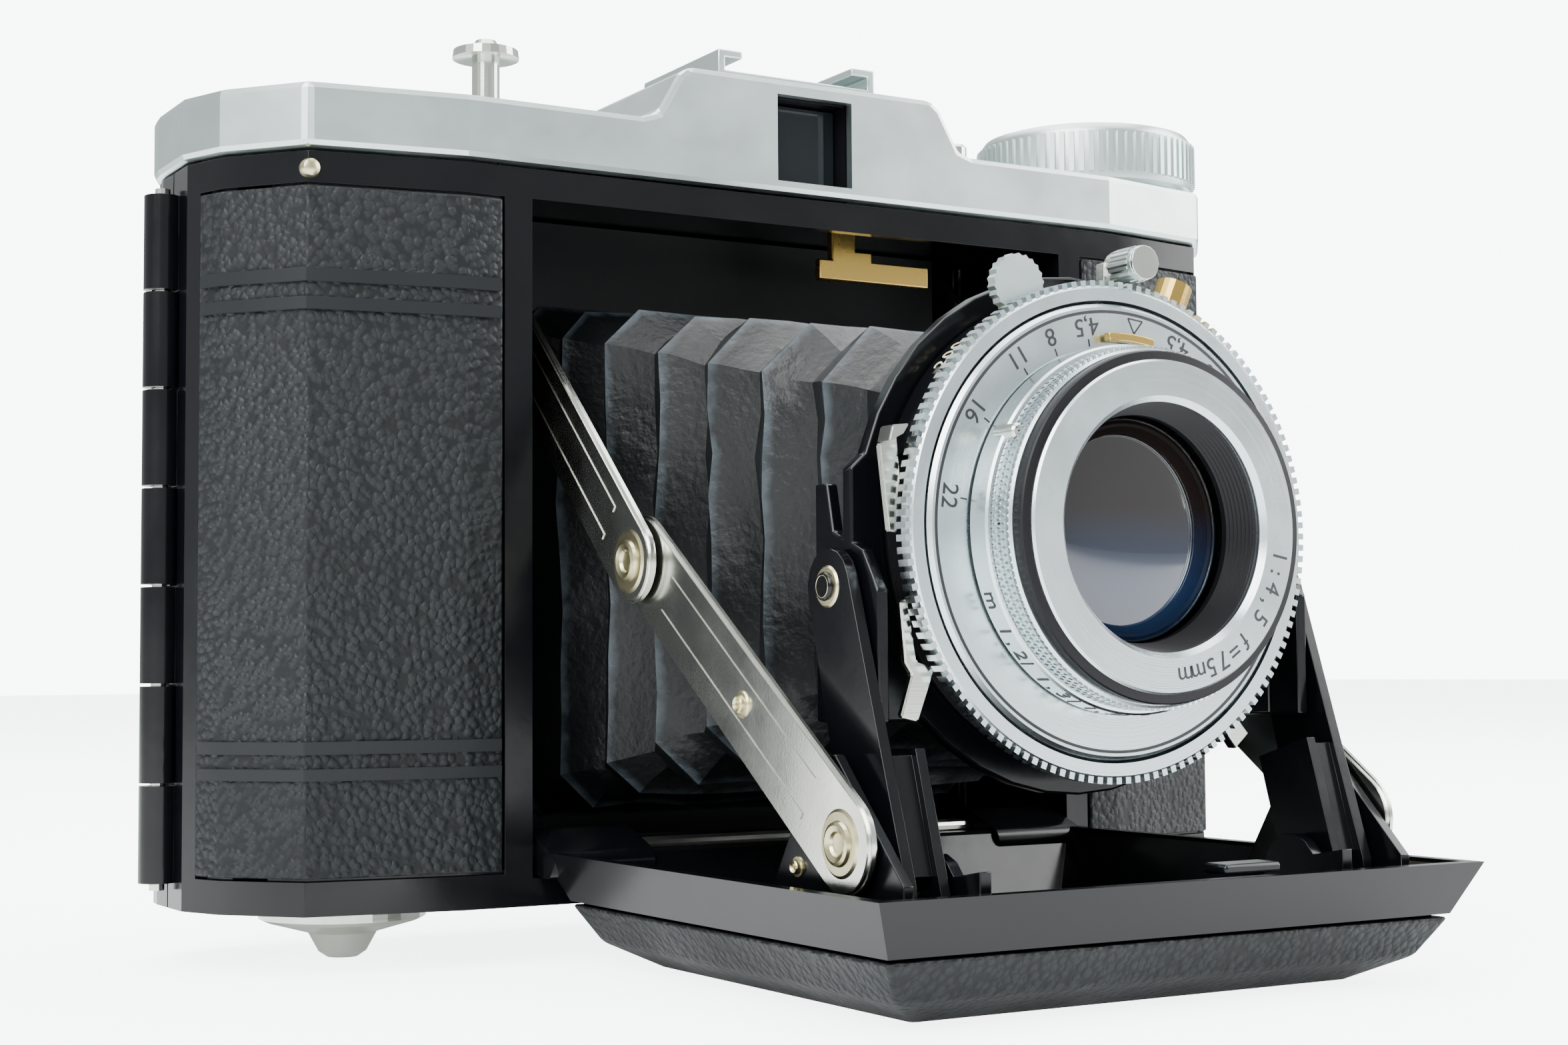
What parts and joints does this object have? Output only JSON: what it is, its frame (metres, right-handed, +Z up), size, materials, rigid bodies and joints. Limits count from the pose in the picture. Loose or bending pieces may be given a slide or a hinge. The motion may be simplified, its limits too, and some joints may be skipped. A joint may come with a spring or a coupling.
{
  "type": "folding camera",
  "caption": "Folding bellows roll-film camera with drop bed open, lens standard run out on struts, black body and satin top cover with finder, shoe and winding knob.",
  "frame": {"origin": "middle of the drop bed's flat underside, on which the camera stands", "axes": "+X to the right seen from the front, +Y away from the subject towards the back cover, +Z up"},
  "size_m": [0.1368, 0.1, 0.0986],
  "materials": {
    "enamel": "gloss",
    "leather": "grained",
    "satin": "satin",
    "nickel": "bright",
    "brass": "satin",
    "black_metal": "semi-gloss",
    "glass": "coated",
    "cloth": "satin",
    "red": "clear",
    "bakelite": "satin"
  },
  "bodies": {
    "camera_body": {"body_shell": "enamel", "leather_left": "leather", "leather_right": "leather", "top_cover": "satin", "accessory_shoe": "satin", "finder_tube": "black_metal", "finder_front_lens": "glass", "finder_eyepiece": "black_metal", "film_gate": "black_metal", "film_roller_left": "nickel", "film_roller_right": "nickel", "spool_foot_left": "nickel", "tripod_foot_right": "nickel", "spool_pin_top": "nickel", "release_link": "brass", "bed_hinge_pin": "nickel", "back_hinge_pin": "nickel", "bellows": "cloth"},
    "bed": {"bed_tray": "enamel", "bed_leather": "leather", "bed_catch": "enamel", "bed_bracket_left": "enamel", "bed_bracket_right": "enamel"},
    "arms": {"arm_left": "enamel", "arm_right": "enamel"},
    "standard": {"lens_standard": "enamel", "shutter_housing": "black_metal", "dial_face": "satin", "rear_cell": "black_metal", "rear_lens": "glass", "iris_blades": "black_metal", "shutter_blades": "black_metal", "shutter_tab": "satin", "flash_nipple": "brass"},
    "lower_struts": {"lower_strut_left": "nickel", "lower_strut_right": "nickel"},
    "upper_struts": {"upper_strut_left": "nickel", "upper_strut_right": "nickel"},
    "shutter_speed_ring": {"speed_ring": "satin"},
    "focus_mount": {"focus_ring": "satin", "front_ring": "satin", "front_lens": "glass"},
    "aperture_pointer": {"aperture_lever": "brass"},
    "cocking_arm": {"cocking_lever": "nickel"},
    "shutter_release": {"release_lever": "nickel"},
    "self_timer": {"timer_lever": "nickel"},
    "back": {"back_cover": "enamel", "back_leather": "leather", "red_window": "red", "pressure_plate": "black_metal", "pressure_spring": "nickel"},
    "window_slide_plate": {"window_cover": "black_metal"},
    "latch": {"back_latch": "nickel"},
    "body_release": {"release_button": "nickel"},
    "bed_release": {"door_button": "nickel"},
    "winder": {"winding_knob": "satin"},
    "takeup": {"takeup_spool": "bakelite"}
  },
  "joints": [
    {"name": "bed_fold", "type": "hinge", "parent": "camera_body", "child": "bed", "pos_m": [0, 0.0356, 0.01125], "axis": [-1, 0, 0], "range_deg": [0, 90], "deforming": ["bellows"]},
    {"name": "arm_swing", "type": "hinge", "parent": "bed", "child": "arms", "pos_m": [0, -0.0204, 0.01025], "axis": [-1, 0, 0], "range_deg": [0, 58.3]},
    {"name": "standard_swing", "type": "hinge", "parent": "arms", "child": "standard", "pos_m": [0, -0.0124, 0.037], "axis": [-1, 0, 0], "range_deg": [-148.3, 0]},
    {"name": "lower_strut_swing", "type": "hinge", "parent": "bed", "child": "lower_struts", "pos_m": [0, -0.0197, 0.015], "axis": [-1, 0, 0], "range_deg": [0, 18.4]},
    {"name": "upper_strut_swing", "type": "hinge", "parent": "camera_body", "child": "upper_struts", "pos_m": [0, 0.05335, 0.0742], "axis": [-1, 0, 0], "range_deg": [-46.2, 0]},
    {"name": "speed_ring_turn", "type": "hinge", "parent": "standard", "child": "shutter_speed_ring", "pos_m": [0, -0.01985, 0.04215], "axis": [0, -1, 0], "range_deg": [-90, 60]},
    {"name": "focus_turn", "type": "hinge", "parent": "standard", "child": "focus_mount", "pos_m": [0, -0.01985, 0.04215], "axis": [0, -1, 0], "range_deg": [-30, 240]},
    {"name": "aperture_swing", "type": "hinge", "parent": "standard", "child": "aperture_pointer", "pos_m": [0, -0.01985, 0.04215], "axis": [0, -1, 0], "range_deg": [0, 100]},
    {"name": "cocking_swing", "type": "hinge", "parent": "standard", "child": "cocking_arm", "pos_m": [0, -0.01765, 0.04215], "axis": [0, -1, 0], "range_deg": [0, 14]},
    {"name": "release_lever_swing", "type": "hinge", "parent": "standard", "child": "shutter_release", "pos_m": [0, -0.01765, 0.04215], "axis": [0, -1, 0], "range_deg": [0, 6], "stiffness_Nm_per_rad": 0.08, "springref_deg": -2.86},
    {"name": "timer_swing", "type": "hinge", "parent": "standard", "child": "self_timer", "pos_m": [0, -0.01765, 0.04215], "axis": [0, -1, 0], "range_deg": [0, 14]},
    {"name": "back_swing", "type": "hinge", "parent": "camera_body", "child": "back", "pos_m": [-0.0673, 0.0525, 0.04385], "axis": [0, 0, 1], "range_deg": [0, 110]},
    {"name": "window_slide", "type": "slide", "parent": "back", "child": "window_slide_plate", "axis": [1, 0, 0], "range_m": [0, 0.012]},
    {"name": "back_latch_slide", "type": "slide", "parent": "back", "child": "latch", "axis": [0, 0, 1], "range_m": [0, 0.003], "stiffness_N_per_m": 80, "springref_m": -0.002},
    {"name": "release_press", "type": "slide", "parent": "camera_body", "child": "body_release", "axis": [0, 0, -1], "range_m": [0, 0.0018], "stiffness_N_per_m": 300, "springref_m": -0.001},
    {"name": "door_button_press", "type": "slide", "parent": "camera_body", "child": "bed_release", "axis": [0, 0, -1], "range_m": [0, 0.0014], "stiffness_N_per_m": 300, "springref_m": -0.001},
    {"name": "knob_turn", "type": "hinge", "parent": "camera_body", "child": "winder", "pos_m": [0.0515, 0.0491, 0.093], "axis": [0, 0, 1], "continuous": true},
    {"name": "takeup_turn", "type": "hinge", "parent": "camera_body", "child": "takeup", "pos_m": [0.0515, 0.0491, 0.044], "axis": [0, 0, 1], "continuous": true}
  ],
  "couplings": [
    {"joint": "arm_swing", "follows": "bed_fold", "ratio": 0.6466},
    {"joint": "standard_swing", "follows": "bed_fold", "ratio": -1.6466},
    {"joint": "lower_strut_swing", "follows": "bed_fold", "ratio": 0.2031},
    {"joint": "upper_strut_swing", "follows": "bed_fold", "ratio": -0.5118},
    {"joint": "takeup_turn", "follows": "knob_turn", "ratio": 1}
  ]
}
